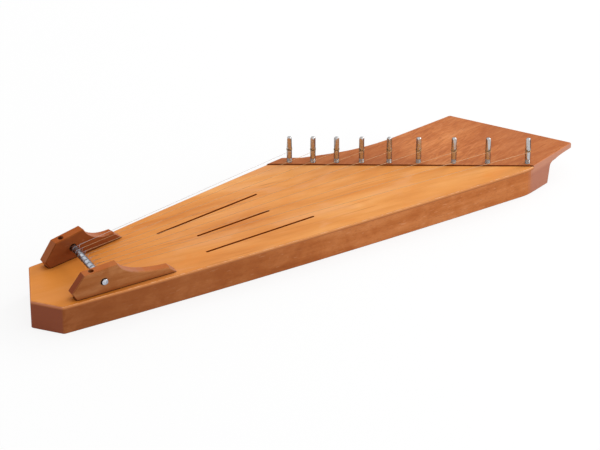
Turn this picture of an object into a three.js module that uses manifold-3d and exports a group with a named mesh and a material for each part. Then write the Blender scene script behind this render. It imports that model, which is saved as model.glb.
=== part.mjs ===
// A nine-string wing-shaped gusli. A carved wooden body with a thin wing carries a soundboard,
// two wooden brackets that hold the steel string rod, and nine tuning pins.
// Lengths are in millimetres. X runs along the near long side from the nose to the wing,
// Y from the near long side to the far one, and Z up from the face the body rests on.

import * as THREE from 'three'
import { mergeVertices } from 'three/addons/utils/BufferGeometryUtils.js'
import Module from 'manifold-3d'

const wasm = await Module()
wasm.setup()

// Plan of the whole body
const planLength = 576
const planDepth = 134
const nearBow = 3.7
const farBow = 1
const tightRounding = 1.6
const endRounding = 6
const scoopRounding = 38
const bowStraight = 16

// Body block, chamber and wing
const seatHeight = 26
const headRise = 4.2
const baseEdge = 0.5
const headEdge = 1.4
const wallThickness = 7
const floorThickness = 4.5
const noseBlockLength = 82
const pinLedge = 13
const pinBlockFoot = 12.2
const pinBlockBack = 14.2
const wingRootThickness = 7.6
const wingEdgeThickness = 5.6
const wingCoveRun = 22
const wingCoveRadius = 5.6

// Soundboard and its braces
const boardThickness = 3
const boardEdge = 0.8
const headGap = 0.3
const slotWidth = 1.9
const braceWidth = 8
const braceHeight = 9
const braceEndHeight = 4
const braceFitGap = 0.3

// Brackets that hold the string rod
const bracketThickness = 9.2
const bracketEdge = 0.8
const noseReach = 4.7
const noseHeight = 8
const browRun = 8
const browHeight = 23.9
const peakHeight = 26.2
const sweepRun = 9
const sweepHeight = 9.5
const nearBracketMargin = 2.8
const nearBracketStart = 15.6
const nearBracketLength = 100.2
const nearPeakRun = 41.3
const nearTailHeight = 6.8
const nearTailBevel = 7.4
const farBracketMargin = 3.8
const farBracketStart = 12.9
const farBracketLength = 83
const farPeakRun = 39.4
const farTailHeight = 8.8
const farTailBevel = 9.6

// String rod
const rodDiameter = 6
const nearRodRun = 27.5
const farRodRun = 28.8
const rodHeight = 12.2
const rodClearance = 0.75
const rodPull = 0.45
const rodEndReach = 1.3

// Bracket screws
const screwRun = 16.4
const screwHeadDiameter = 5
const screwHeadHeight = 2.2
const screwShankDiameter = 3.4
const screwLength = 31
const screwSink = 5
const screwTip = 3
const screwClearance = 0.3

// Tuning pins
const pinDiameter = 5
const pinRise = 27.4
const pinDepth = 14.6
const pinTipLength = 1.4
const pinTipDiameter = 3.6
const pinClearance = 0.07
const pinHoleSpare = 1
const pinRowSetback = 4.5
const squareStart = 16
const squareBase = 4.5
const squareTop = 3.5
const squareShoulder = 1.2
const crownHeight = 1.8
const crownDiameter = 2
const stringHoleHeight = 14.9
const stringHoleDiameter = 1.2

// Strings and their windings
const stringDiameter = 0.4
const windingGap = 0.3
const windingPitch = 1
const windingHeight = 13
const windingTurns = 1.5
const rodLoopTurns = 1
const rodEndMargin = 4.6
const stringEndClearance = 0.3
const loopSteps = 24
const wireSides = 6

// How far a cutter runs past what it cuts
const overrun = 2

// Flats of round forms, and steps of a rounded edge
const rodSides = 24
const screwSides = 16
const pinSides = 32
const stringHoleSides = 10
const edgeSteps = 4

// Places on the plan, as shares of its length and depth
const nearLeftShares = [0.0369, 0]
const nearRightShares = [0.8914, 0.002]
const wingTipShares = [1, 0.16]
const wingShoulderShares = [0.868, 0.927]
const scoopShares = [0.6828, 0.817]
const headHeelShares = [0.579, 0.925]
const farRightShares = [0.549, 0.993]
const farLeftShares = [0.0836, 0.584]
const noseFarShares = [0.0389, 0.563]
const noseNearShares = [0, 0.177]
const firstPinShares = [0.5538, 0.916]
const lastPinShares = [0.8982, 0.0717]
const pinSpacingShares = [0, 0.099, 0.198, 0.303, 0.419, 0.542, 0.69, 0.833, 1]
const pinTurns = [52, 24, 8, 31, 14, 3, 38, 17, 40]
const slotShares = [
  [0.2615, 0.5175, 0.4565, 0.645],
  [0.315, 0.358, 0.4502, 0.41],
  [0.3058, 0.146, 0.505, 0.193]
]
const braceShares = [0.213, 0.553]

const seatToTop = seatHeight + boardThickness
const headTop = seatHeight + headRise
const up = new THREE.Vector3(0, 0, 1)

function planPoint(shares) {
  return new THREE.Vector2(shares[0] * planLength, shares[1] * planDepth)
}

const nearLeft = planPoint(nearLeftShares)
const nearRight = planPoint(nearRightShares)
const farLeft = planPoint(farLeftShares)
const farRight = planPoint(farRightShares)

// Middle of a side, pushed out so that the arc through it bows by the given amount
function bowCorner(from, to, bow) {
  const along = to.clone().sub(from)
  const outward = new THREE.Vector2(along.y, -along.x).setLength(2 * bow)
  return from.clone().add(to).multiplyScalar(0.5).add(outward)
}

// Corners of the body in order, each with its rounding and the steps of that rounding
function bodyCorners() {
  const nearSide = nearRight.distanceTo(nearLeft)
  const farSide = farRight.distanceTo(farLeft)
  return [
    { at: nearLeft, rounding: tightRounding, steps: 3 },
    { at: bowCorner(nearLeft, nearRight, nearBow), rounding: nearSide / 2 - bowStraight, steps: 8 },
    { at: nearRight, rounding: endRounding, steps: 4 },
    { at: planPoint(wingTipShares), rounding: tightRounding, steps: 3 },
    { at: planPoint(wingShoulderShares), rounding: tightRounding, steps: 3 },
    { at: planPoint(scoopShares), rounding: scoopRounding, steps: 7 },
    { at: planPoint(headHeelShares), rounding: tightRounding, steps: 3 },
    { at: farRight, rounding: tightRounding, steps: 3 },
    { at: bowCorner(farRight, farLeft, farBow), rounding: farSide / 2 - bowStraight, steps: 6 },
    { at: farLeft, rounding: tightRounding, steps: 3 },
    { at: planPoint(noseFarShares), rounding: tightRounding, steps: 3 },
    { at: planPoint(noseNearShares), rounding: tightRounding, steps: 3 }
  ]
}

// Outline through the corners, each rounded by a curve that starts one rounding away from it
function roundedOutline(corners) {
  const points = []
  corners.forEach((corner, i) => {
    if (corner.rounding === 0) {
      points.push(corner.at)
      return
    }
    const before = corners.at(i - 1).at
    const after = corners[(i + 1) % corners.length].at
    const start = before.clone().sub(corner.at).setLength(corner.rounding).add(corner.at)
    const end = after.clone().sub(corner.at).setLength(corner.rounding).add(corner.at)
    points.push(...new THREE.QuadraticBezierCurve(start, corner.at, end).getPoints(corner.steps))
  })
  return points
}

// The same outline moved inward by a distance, with mitred corners
function insetOutline(points, distance) {
  return points.map((point, i) => {
    const before = point.clone().sub(points.at(i - 1)).normalize()
    const after = points[(i + 1) % points.length].clone().sub(point).normalize()
    const mitre = new THREE.Vector2(-before.y - after.y, before.x + after.x).normalize()
    const spread = mitre.dot(new THREE.Vector2(-after.y, after.x))
    return point.clone().addScaledVector(mitre, distance / spread)
  })
}

// Outline of the body drawn in by a distance. Its tight corners can be left sharp, for the chamber.
function bodyOutline(inset, keepTight = true) {
  const corners = bodyCorners()
  const places = insetOutline(corners.map((corner) => corner.at), inset)
  return roundedOutline(corners.map((corner, i) => {
    const keep = keepTight || corner.rounding > endRounding
    return { at: places[i], rounding: keep ? corner.rounding : 0, steps: corner.steps }
  }))
}

// Closed solid through outlines that all have the same number of points
function loft(sections) {
  const count = sections[0].points.length
  const positions = sections.flatMap(({ points, z }) => points.flatMap((point) => [point.x, point.y, z]))
  const faces = []
  for (let ring = 0; ring < sections.length - 1; ring++) {
    for (let i = 0; i < count; i++) {
      const low = ring * count + i
      const lowNext = ring * count + (i + 1) % count
      faces.push(low, lowNext, lowNext + count, low, lowNext + count, low + count)
    }
  }
  const last = (sections.length - 1) * count
  for (const [a, b, c] of THREE.ShapeUtils.triangulateShape(sections[0].points, [])) faces.push(c, b, a)
  for (const [a, b, c] of THREE.ShapeUtils.triangulateShape(sections.at(-1).points, [])) {
    faces.push(last + a, last + b, last + c)
  }
  const geometry = new THREE.BufferGeometry()
  geometry.setAttribute('position', new THREE.Float32BufferAttribute(positions, 3))
  geometry.setIndex(faces)
  return geometry
}

// Slab of the body's plan whose lower edge is bevelled and whose upper edge is rounded
function bodySlab(bottom, top, lowerEdge, upperEdge) {
  const sections = []
  if (lowerEdge > 0) sections.push({ points: bodyOutline(lowerEdge), z: bottom })
  sections.push({ points: bodyOutline(0), z: bottom + lowerEdge })
  for (let i = 0; i <= edgeSteps; i++) {
    const angle = (i / edgeSteps) * (Math.PI / 2)
    const inset = upperEdge * (1 - Math.cos(angle))
    sections.push({ points: bodyOutline(inset), z: top - upperEdge + upperEdge * Math.sin(angle) })
  }
  return solidOf(loft(sections))
}

function solidOf(geometry) {
  const plain = geometry.clone()
  plain.deleteAttribute('normal')
  plain.deleteAttribute('uv')
  const merged = mergeVertices(plain)
  const vertProperties = new Float32Array(merged.attributes.position.array)
  const triVerts = new Uint32Array(merged.index.array)
  return new wasm.Manifold(new wasm.Mesh({ numProp: 3, vertProperties, triVerts }))
}

function geometryOf(solid) {
  const mesh = solid.getMesh()
  const geometry = new THREE.BufferGeometry()
  geometry.setAttribute('position', new THREE.BufferAttribute(mesh.vertProperties, 3))
  geometry.setIndex(new THREE.BufferAttribute(mesh.triVerts, 1))
  geometry.computeVertexNormals()
  return geometry
}

function prism(points, bottom, top) {
  return solidOf(loft([{ points, z: bottom }, { points, z: top }]))
}

// Upright cylinder between two heights
function post(x, y, bottom, top, diameter, sides) {
  const geometry = new THREE.CylinderGeometry(diameter / 2, diameter / 2, top - bottom, sides)
  geometry.rotateX(Math.PI / 2)
  geometry.translate(x, y, (bottom + top) / 2)
  return solidOf(geometry)
}

// Cylinder between two points in space
function bar(from, to, diameter, sides) {
  const geometry = new THREE.CylinderGeometry(diameter / 2, diameter / 2, from.distanceTo(to), sides)
  const direction = to.clone().sub(from).normalize()
  const turn = new THREE.Quaternion().setFromUnitVectors(new THREE.Vector3(0, 1, 0), direction)
  geometry.applyQuaternion(turn)
  const middle = from.clone().add(to).multiplyScalar(0.5)
  geometry.translate(middle.x, middle.y, middle.z)
  return geometry
}

// The row of tuning pins, its direction and the direction away from the soundboard
const firstPin = planPoint(firstPinShares)
const lastPin = planPoint(lastPinShares)
const rowAlong = lastPin.clone().sub(firstPin).normalize()
const rowAway = new THREE.Vector2(-rowAlong.y, rowAlong.x)
const pinPlaces = pinSpacingShares.map((share) => firstPin.clone().lerp(lastPin, share))

// A point given by its run along the pin row and its distance behind it
function rowPoint(run, away) {
  return firstPin.clone().addScaledVector(rowAlong, run).addScaledVector(rowAway, away)
}

// Everything on the soundboard's side of a line parallel to the pin row
function regionBeforeRow(away) {
  return [
    rowPoint(-planLength, away),
    rowPoint(-planLength, away - 2 * planLength),
    rowPoint(2 * planLength, away - 2 * planLength),
    rowPoint(2 * planLength, away)
  ]
}

// Space under the wing: the leaning rear of the pin block, then a cove up to the thin outer edge
function undercut() {
  const rootZ = headTop - wingRootThickness
  const edgeZ = headTop - wingEdgeThickness
  const profile = new THREE.Shape()
  profile.moveTo(pinBlockFoot, 0)
  profile.lineTo(pinBlockFoot, -overrun)
  profile.lineTo(planLength, -overrun)
  profile.lineTo(planLength, edgeZ)
  profile.lineTo(pinBlockBack + wingCoveRun, edgeZ)
  profile.quadraticCurveTo(pinBlockBack + wingCoveRun / 2, edgeZ, pinBlockBack + wingCoveRadius, rootZ)
  profile.quadraticCurveTo(pinBlockBack, rootZ, pinBlockBack, rootZ - wingCoveRadius)
  const length = 3 * planLength
  const geometry = new THREE.ExtrudeGeometry(profile, { depth: length, bevelEnabled: false, curveSegments: 5 })
  const away = new THREE.Vector3(rowAway.x, rowAway.y, 0)
  const along = new THREE.Vector3(rowAlong.x, rowAlong.y, 0)
  const start = rowPoint(-planLength, 0)
  geometry.applyMatrix4(new THREE.Matrix4().makeBasis(away, up, along).setPosition(start.x, start.y, 0))
  return solidOf(geometry)
}

// Resonance chamber between the nose block and the pin block
function chamber(spare, bottom, top) {
  const walls = bodyOutline(wallThickness + spare, false)
  const noseLine = noseBlockLength + spare
  const beforeNose = [
    new THREE.Vector2(-planLength, -planLength),
    new THREE.Vector2(noseLine, -planLength),
    new THREE.Vector2(noseLine, planLength),
    new THREE.Vector2(-planLength, planLength)
  ]
  const before = regionBeforeRow(-pinRowSetback - pinLedge - spare)
  return prism(walls, bottom, top)
    .intersect(prism(before, bottom - overrun, top + overrun))
    .subtract(prism(beforeNose, bottom - overrun, top + overrun))
}

// Seat, direction and inward direction of a bracket, at the start of its outer foot line
function bracketFrame(from, to, start, margin, side) {
  const along = to.clone().sub(from).normalize()
  const inward = new THREE.Vector2(-along.y, along.x).multiplyScalar(side)
  const foot = from.clone().addScaledVector(along, start).addScaledVector(inward, margin)
  return { along, inward, foot }
}

const nearFrame = bracketFrame(nearLeft, nearRight, nearBracketStart, nearBracketMargin, 1)
const farFrame = bracketFrame(farLeft, farRight, -farBracketStart, farBracketMargin, -1)

// Point of a bracket by its run along the foot line and its distance in from the outer face
function bracketPoint(frame, run, across, z) {
  const point = frame.foot.clone().addScaledVector(frame.along, run).addScaledVector(frame.inward, across)
  return new THREE.Vector3(point.x, point.y, z)
}

// Side view of a bracket: bevelled nose, brow, flat top, concave sweep and bevelled tail
function bracketProfile(peakRun, length, tailHeight, tailBevel) {
  const sweep = new THREE.QuadraticBezierCurve(
    new THREE.Vector2(length - tailBevel, tailHeight),
    new THREE.Vector2(peakRun + sweepRun, sweepHeight),
    new THREE.Vector2(peakRun, peakHeight)
  )
  return [
    new THREE.Vector2(0, 0),
    new THREE.Vector2(length, 0),
    ...sweep.getPoints(9),
    new THREE.Vector2(browRun, browHeight),
    new THREE.Vector2(-noseReach, noseHeight)
  ]
}

// Bracket with its edges eased all round, its foot included
function bracketBlank(frame, profile) {
  const across = new THREE.Vector3(frame.along.y, -frame.along.x, 0)
  const facesInward = across.x * frame.inward.x + across.y * frame.inward.y > 0
  const origin = bracketPoint(frame, 0, facesInward ? 0 : bracketThickness, seatToTop)
  const eased = insetOutline(profile, bracketEdge)
  const geometry = loft([
    { points: eased, z: 0 },
    { points: profile, z: bracketEdge },
    { points: profile, z: bracketThickness - bracketEdge },
    { points: eased, z: bracketThickness }
  ])
  const along = new THREE.Vector3(frame.along.x, frame.along.y, 0)
  geometry.applyMatrix4(new THREE.Matrix4().makeBasis(along, up, across).setPosition(origin))
  return solidOf(geometry)
}

// String rod: its line runs between the outer faces of the two brackets
const rodZ = seatToTop + rodHeight
const rodNear = bracketPoint(nearFrame, nearRodRun, 0, rodZ)
const rodFar = bracketPoint(farFrame, farRodRun, 0, rodZ)
const rodAlong = rodFar.clone().sub(rodNear).normalize()

function rodPoint(distance) {
  return rodNear.clone().addScaledVector(rodAlong, distance)
}

// Wider hole for the rod, right through both brackets. The strings pull the rod to its wing side.
function rodCutter() {
  const slack = new THREE.Vector3().crossVectors(up, rodAlong).setLength(rodPull)
  const start = rodPoint(-bracketThickness).add(slack)
  const end = rodPoint(rodNear.distanceTo(rodFar) + bracketThickness).add(slack)
  return solidOf(bar(start, end, rodDiameter + 2 * rodClearance, rodSides))
}

function screwPlace(frame) {
  return bracketPoint(frame, screwRun, bracketThickness / 2, seatToTop)
}

// Height of a bracket's peak, up to which its screw hole is cut, and of the screw's head below the brow
const screwTopZ = seatToTop + peakHeight
const screwSeatZ = seatToTop + browHeight - screwSink

// Holes for a bracket screw: a wide one for its head and a narrower one for its shank
function screwCutter(frame) {
  const place = screwPlace(frame)
  const wide = screwHeadDiameter + 2 * screwClearance
  const narrow = screwShankDiameter + 2 * screwClearance
  const seat = screwSeatZ - screwHeadHeight
  const bottom = screwSeatZ - screwLength - screwClearance
  return post(place.x, place.y, seat, screwTopZ + overrun, wide, screwSides)
    .add(post(place.x, place.y, bottom, screwTopZ, narrow, screwSides))
}

function bodySolid() {
  const cut = regionBeforeRow(-pinRowSetback)
  let body = bodySlab(0, headTop, baseEdge, headEdge)
    .subtract(undercut())
    .subtract(prism(cut, seatHeight, headTop + overrun))
    .subtract(chamber(0, floorThickness, seatHeight + overrun))
    .subtract(screwCutter(nearFrame))
    .subtract(screwCutter(farFrame))
  for (const place of pinPlaces) {
    const bottom = headTop - pinDepth - pinHoleSpare
    const wide = (pinDiameter + 2 * pinClearance) / Math.cos(Math.PI / pinSides)
    body = body.subtract(post(place.x, place.y, bottom, headTop + overrun, wide, pinSides))
  }
  return body
}

// Slot with round ends between two places
function slotCutter(shares) {
  const from = planPoint(shares.slice(0, 2))
  const to = planPoint(shares.slice(2))
  const along = to.clone().sub(from)
  const angle = along.angle()
  const shape = new THREE.Shape()
  shape.absarc(to.x, to.y, slotWidth / 2, angle - Math.PI / 2, angle + Math.PI / 2)
  shape.absarc(from.x, from.y, slotWidth / 2, angle + Math.PI / 2, angle + 1.5 * Math.PI)
  const depth = boardThickness + 2 * overrun
  const geometry = new THREE.ExtrudeGeometry(shape, { depth, bevelEnabled: false, curveSegments: 6 })
  geometry.translate(0, 0, seatHeight - overrun)
  return solidOf(geometry)
}

function soundboardSolid() {
  const region = regionBeforeRow(-pinRowSetback - headGap)
  let board = bodySlab(seatHeight, seatToTop, 0, boardEdge)
    .intersect(prism(region, seatHeight - overrun, seatToTop + overrun))
    .subtract(screwCutter(nearFrame))
    .subtract(screwCutter(farFrame))
  for (const shares of slotShares) board = board.subtract(slotCutter(shares))
  return board
}

// Brace under the soundboard, deepest in its middle, ending just short of the chamber's walls
function braceSolid(share) {
  const blank = new THREE.Shape()
  blank.moveTo(-planDepth / 2, 0)
  blank.lineTo(-planDepth / 2, -braceEndHeight)
  blank.quadraticCurveTo(0, -2 * braceHeight + braceEndHeight, planDepth / 2, -braceEndHeight)
  blank.lineTo(planDepth / 2, 0)
  const settings = { depth: braceWidth, bevelEnabled: false, curveSegments: 10 }
  const geometry = new THREE.ExtrudeGeometry(blank, settings)
  const across = new THREE.Matrix4().makeBasis(new THREE.Vector3(0, 1, 0), up, new THREE.Vector3(1, 0, 0))
  const place = new THREE.Vector3(share * planLength, planDepth / 2 - wallThickness, seatHeight)
  geometry.applyMatrix4(across.setPosition(place))
  return solidOf(geometry).intersect(chamber(braceFitGap, floorThickness, seatHeight))
}

function rodGeometry() {
  const end = rodNear.distanceTo(rodFar) + rodEndReach
  return bar(rodPoint(-rodEndReach), rodPoint(end), rodDiameter, rodSides)
}

// Wood screw with its tip down and the top of its head at zero
function screwGeometry() {
  const profile = [
    new THREE.Vector2(0, -screwLength),
    new THREE.Vector2(screwShankDiameter / 2, screwTip - screwLength),
    new THREE.Vector2(screwShankDiameter / 2, -screwHeadHeight),
    new THREE.Vector2(screwHeadDiameter / 2, -screwHeadHeight),
    new THREE.Vector2(screwHeadDiameter / 2, -screwHeadHeight / 2),
    new THREE.Vector2(0, 0)
  ]
  const geometry = new THREE.LatheGeometry(profile, screwSides)
  geometry.rotateX(Math.PI / 2)
  return geometry
}

// Tuning pin with zero at the head's top face: round shank, tapered square and a blunt crown
function pinGeometry() {
  const radius = pinDiameter / 2
  const crownStart = pinRise - crownHeight
  const profile = [
    new THREE.Vector2(0, -pinDepth),
    new THREE.Vector2(pinTipDiameter / 2, -pinDepth),
    new THREE.Vector2(radius, pinTipLength - pinDepth),
    new THREE.Vector2(radius, crownStart),
    new THREE.Vector2(crownDiameter / 2, pinRise),
    new THREE.Vector2(0, pinRise)
  ]
  const turned = new THREE.LatheGeometry(profile, pinSides)
  turned.rotateX(Math.PI / 2)
  const top = pinRise + overrun
  const blank = new THREE.BoxGeometry(4 * pinDiameter, 4 * pinDiameter, top - squareStart)
  blank.translate(0, 0, (top + squareStart) / 2)
  const square = loft([
    { points: squarePoints(pinDiameter), z: squareStart },
    { points: squarePoints(squareBase), z: squareStart + squareShoulder },
    { points: squarePoints(squareTop), z: top }
  ])
  const hole = bar(
    new THREE.Vector3(-pinDiameter, 0, stringHoleHeight),
    new THREE.Vector3(pinDiameter, 0, stringHoleHeight),
    stringHoleDiameter,
    stringHoleSides
  )
  return geometryOf(solidOf(turned).subtract(solidOf(blank).subtract(solidOf(square))).subtract(solidOf(hole)))
}

function squarePoints(width) {
  const half = width / 2
  return [
    new THREE.Vector2(-half, -half),
    new THREE.Vector2(half, -half),
    new THREE.Vector2(half, half),
    new THREE.Vector2(-half, half)
  ]
}

// Wire line through a list of points, one step from each to the next
class WireLine extends THREE.Curve {
  constructor(points) {
    super()
    this.points = points
  }

  getPoint(t, target = new THREE.Vector3()) {
    const place = Math.min(t, 1) * (this.points.length - 1)
    const step = Math.min(Math.floor(place), this.points.length - 2)
    return target.copy(this.points[step]).lerp(this.points[step + 1], place - step)
  }

  getUtoTmapping(u) {
    return u
  }
}

function wireGeometry(points) {
  const section = new THREE.Shape()
  for (let i = 0; i < wireSides; i++) {
    const angle = (i / wireSides) * 2 * Math.PI
    const x = stringDiameter / 2 * Math.cos(angle)
    const y = stringDiameter / 2 * Math.sin(angle)
    if (i === 0) section.moveTo(x, y)
    else section.lineTo(x, y)
  }
  const settings = { steps: points.length - 1, extrudePath: new WireLine(points), bevelEnabled: false }
  return new THREE.ExtrudeGeometry(section, settings)
}

// Least distance between two turns of a wire, less its thickness
function leastGap(points) {
  let least = Infinity
  for (let i = 0; i < points.length; i++) {
    for (let j = i + loopSteps / 2; j < points.length; j++) {
      const step = Math.max(i, 1)
      const segment = new THREE.Line3(points[step - 1], points[step])
      const nearest = segment.closestPointToPoint(points[j], true, new THREE.Vector3())
      least = Math.min(least, nearest.distanceTo(points[j]))
    }
  }
  return least - stringDiameter
}

const rodLoopRadius = rodDiameter / 2 + windingGap + stringDiameter / 2
const pinLoopRadius = pinDiameter / 2 + windingGap + stringDiameter / 2
const freeRod = rodNear.distanceTo(rodFar) - 2 * bracketThickness
const stringZ = headTop + windingHeight

// Where string number i leaves the rod, spread evenly between the brackets
function rodStation(i) {
  const step = (freeRod - 2 * rodEndMargin) / (pinPlaces.length - 1)
  return rodPoint(bracketThickness + freeRod - rodEndMargin - step * i)
}

// Line of a string: a loop round the rod, then straight to just short of its pin's winding
function stringPoints(i) {
  const station = rodStation(i)
  const side = new THREE.Vector3().crossVectors(rodAlong, up)
  const points = []
  for (let k = -loopSteps * rodLoopTurns; k <= 0; k++) {
    const angle = (k / loopSteps) * 2 * Math.PI
    points.push(station.clone()
      .addScaledVector(rodAlong, windingPitch * k / loopSteps)
      .addScaledVector(up, rodLoopRadius * Math.cos(angle))
      .addScaledVector(side, rodLoopRadius * Math.sin(angle)))
  }
  const touch = touchPoint(i)
  const outer = pinLoopRadius + stringDiameter / 2 + stringEndClearance
  const inner = pinLoopRadius - stringDiameter / 2
  const stop = Math.sqrt(outer * outer - inner * inner)
  const last = points.at(-1)
  const run = last.clone().sub(touch)
  points.push(touch.clone().addScaledVector(run.normalize(), stop))
  return points
}

// Direction on the plan from a pin to the place where its string leaves the rod
function stringHeading(i) {
  const station = rodStation(i)
  return new THREE.Vector2(station.x, station.y).sub(pinPlaces[i]).normalize()
}

// Point where a string meets its winding, on the near side of the pin
function touchPoint(i) {
  const heading = stringHeading(i)
  const side = new THREE.Vector2(-heading.y, heading.x)
  const point = pinPlaces[i].clone().addScaledVector(side, pinLoopRadius)
  return new THREE.Vector3(point.x, point.y, stringZ)
}

// Turns of a string round its pin, with zero at the pin's foot on the head
function windingPoints(i) {
  const heading = stringHeading(i)
  const start = Math.atan2(heading.x, -heading.y)
  const points = []
  for (let k = 0; k <= loopSteps * windingTurns; k++) {
    const angle = start + (k / loopSteps) * 2 * Math.PI
    const z = windingHeight + windingPitch * k / loopSteps
    points.push(new THREE.Vector3(pinLoopRadius * Math.cos(angle), pinLoopRadius * Math.sin(angle), z))
  }
  return points
}

const lacquered = { roughness: 0.35, metalness: 0 }
const carvedWood = new THREE.MeshStandardMaterial({ color: 0xa45f35, ...lacquered })
const boardWood = new THREE.MeshStandardMaterial({ color: 0xe09a58, ...lacquered })
const bracketWood = new THREE.MeshStandardMaterial({ color: 0x96552d, ...lacquered })
const rawWood = new THREE.MeshStandardMaterial({ color: 0xd2ac78, roughness: 0.8, metalness: 0 })
const pinSteel = new THREE.MeshStandardMaterial({ color: 0xb9b9bd, roughness: 0.25, metalness: 1 })
const stringSteel = new THREE.MeshStandardMaterial({ color: 0xd4d6da, roughness: 0.3, metalness: 1 })
const screwSteel = new THREE.MeshStandardMaterial({ color: 0x5a4a3c, roughness: 0.45, metalness: 1 })

const gusli = new THREE.Group()

function addPiece(name, geometry, material) {
  const mesh = new THREE.Mesh(geometry, material)
  mesh.name = name
  gusli.add(mesh)
  return mesh
}

function addBody() {
  addPiece('carved_body', geometryOf(bodySolid()), carvedWood)
  addPiece('soundboard', geometryOf(soundboardSolid()), boardWood)
  braceShares.forEach((share, i) => addPiece(`soundboard_brace_${i + 1}`, geometryOf(braceSolid(share)), rawWood))
}

function addBracket(name, frame, profile) {
  const solid = bracketBlank(frame, profile).subtract(rodCutter()).subtract(screwCutter(frame))
  addPiece(name, geometryOf(solid), bracketWood)
  const screw = addPiece(`${name}_screw`, screwGeometry(), screwSteel)
  const place = screwPlace(frame)
  screw.position.set(place.x, place.y, screwSeatZ)
}

function addPins() {
  const pin = pinGeometry()
  pinPlaces.forEach((place, i) => {
    const mesh = addPiece(`tuning_pin_${i + 1}`, pin, pinSteel)
    mesh.position.set(place.x, place.y, headTop)
    mesh.rotation.z = THREE.MathUtils.degToRad(pinTurns[i])
  })
}

function addStrings() {
  let least = Infinity
  pinPlaces.forEach((place, i) => {
    addPiece(`string_${i + 1}`, wireGeometry(stringPoints(i)), stringSteel)
    const winding = addPiece(`string_winding_${i + 1}`, wireGeometry(windingPoints(i)), stringSteel)
    winding.position.set(place.x, place.y, headTop)
    least = Math.min(least, leastGap(stringPoints(i)), leastGap(windingPoints(i)))
  })
  console.log(`least gap of a wire to itself ${least.toFixed(3)} mm`)
}

addBody()
const nearProfile = bracketProfile(nearPeakRun, nearBracketLength, nearTailHeight, nearTailBevel)
const farProfile = bracketProfile(farPeakRun, farBracketLength, farTailHeight, farTailBevel)
addBracket('near_bracket', nearFrame, nearProfile)
addBracket('far_bracket', farFrame, farProfile)
addPiece('string_rod', rodGeometry(), pinSteel)
addPins()
addStrings()

// The origin lies under the middle of the whole instrument
const bounds = new THREE.Box3().setFromObject(gusli)
const middle = bounds.getCenter(new THREE.Vector3())
gusli.position.set(-middle.x, -middle.y, 0)

export default gusli
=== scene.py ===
"""Looks of the wing-shaped gusli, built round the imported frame. Lengths are in metres."""

import math

import bmesh
import bpy
from mathutils import Matrix, Vector


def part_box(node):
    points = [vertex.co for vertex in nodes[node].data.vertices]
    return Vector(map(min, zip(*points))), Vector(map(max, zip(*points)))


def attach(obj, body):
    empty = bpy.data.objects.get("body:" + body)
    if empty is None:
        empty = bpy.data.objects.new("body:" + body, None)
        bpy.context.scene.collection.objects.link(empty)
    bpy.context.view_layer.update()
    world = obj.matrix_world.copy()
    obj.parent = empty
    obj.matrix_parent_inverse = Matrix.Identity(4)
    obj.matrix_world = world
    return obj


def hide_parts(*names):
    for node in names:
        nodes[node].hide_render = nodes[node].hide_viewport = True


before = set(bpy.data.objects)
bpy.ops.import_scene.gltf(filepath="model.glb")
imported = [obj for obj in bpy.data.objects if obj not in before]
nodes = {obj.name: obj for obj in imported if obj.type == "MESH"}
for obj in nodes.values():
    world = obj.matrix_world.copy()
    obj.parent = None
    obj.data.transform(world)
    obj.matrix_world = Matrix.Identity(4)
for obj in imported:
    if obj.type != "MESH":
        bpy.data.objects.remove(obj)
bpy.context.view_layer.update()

MM = 0.001
SIDEWAYS = Vector((1, 0, 0))
INWARD = Vector((0, 1, 0))
UP = Vector((0, 0, 1))
WHITE = (1, 1, 1, 1)

# Camera, from the photograph's vanishing directions
CAMERA_PLACE = Vector((-1.17729, -2.13906, 1.5251))
CAMERA_AIM = Vector((0.41168, 0.74142, -0.52992))
SENSOR_WIDTH = 36
LENS = 182.44
NEAREST_SEEN = 0.1
FARTHEST_SEEN = 50

# Floor, with the share of plain white in what it shows, which keeps its shadow as faint as in the
# photograph, and the strength of the light from all round
FLOOR_REACH = 7
FLOOR_HEIGHT = -0.15 * MM
FLOOR_GREY = (0.8, 0.8, 0.8, 1)
FLOOR_GLOW = 0.84
STUDIO_LIGHT = 0.76

# Turn of the grain about Z, in degrees, and how far it wanders sideways
BOARD_TURN = 2.5
BODY_TURN = -3
CURL_TURN = -17
STROKE_TURN = -24
GRAIN_WANDER = 12 * MM

# Depth of the relief in the surfaces, and how far edges are rounded for the light
WOOD_RELIEF = 0.2 * MM
METAL_RELIEF = 0.05 * MM
BOARD_EASE = 0.6 * MM
HARDWOOD_EASE = 0.5 * MM

# Reach of the painted soft shade at the feet of other pieces, and of the painted shade in narrow gaps
FOOT_REACH = 9 * MM
GAP_REACH = 3 * MM

# Upward part of a face's normal, from where the face starts to count as upright or as lying flat
# to where it fully does
UPRIGHT = (0.6, 0.3)
LYING = (0.6, 0.9)

# Darker lower part of the soundboard's edge, where it is glued to the body
SEAM_WIDTH = 0.5 * MM

# Depth of the dark line of painted shade on the head's front, where it stands over the soundboard
HEAD_LINE = 1 * MM

# Stretch above the soundboard over which painted shade darkens the brackets downward
BRACKET_SHADE = 6 * MM

# Heights between which the painted sheen on faces turned to the right grows paler
RIGHT_SHEEN_PALING = (20 * MM, 25 * MM)

# Stretches along the instrument over which a tone sets in, the last of them a painted highlight on the
# strings toward the pins
BOARD_DARKENING = (-50 * MM, -270 * MM)
BODY_DARKENING = (90 * MM, -230 * MM)
NOSE_DARKENING = (-200 * MM, -260 * MM)
HEAD_DARKENING_LEFT = (165 * MM, 90 * MM)
HEAD_DARKENING_RIGHT = (170 * MM, 250 * MM)
STRING_HIGHLIGHT_STRETCH = (50 * MM, 170 * MM)

# Part of the soundboard its slots lie in, as the middle and half of each stretch, and the width
# over which that part fades out
SLOTS_ALONG = (-67 * MM, 78 * MM)
SLOTS_ACROSS = (-10.5 * MM, 42 * MM)
SLOTS_FADE = 1 * MM

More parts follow.
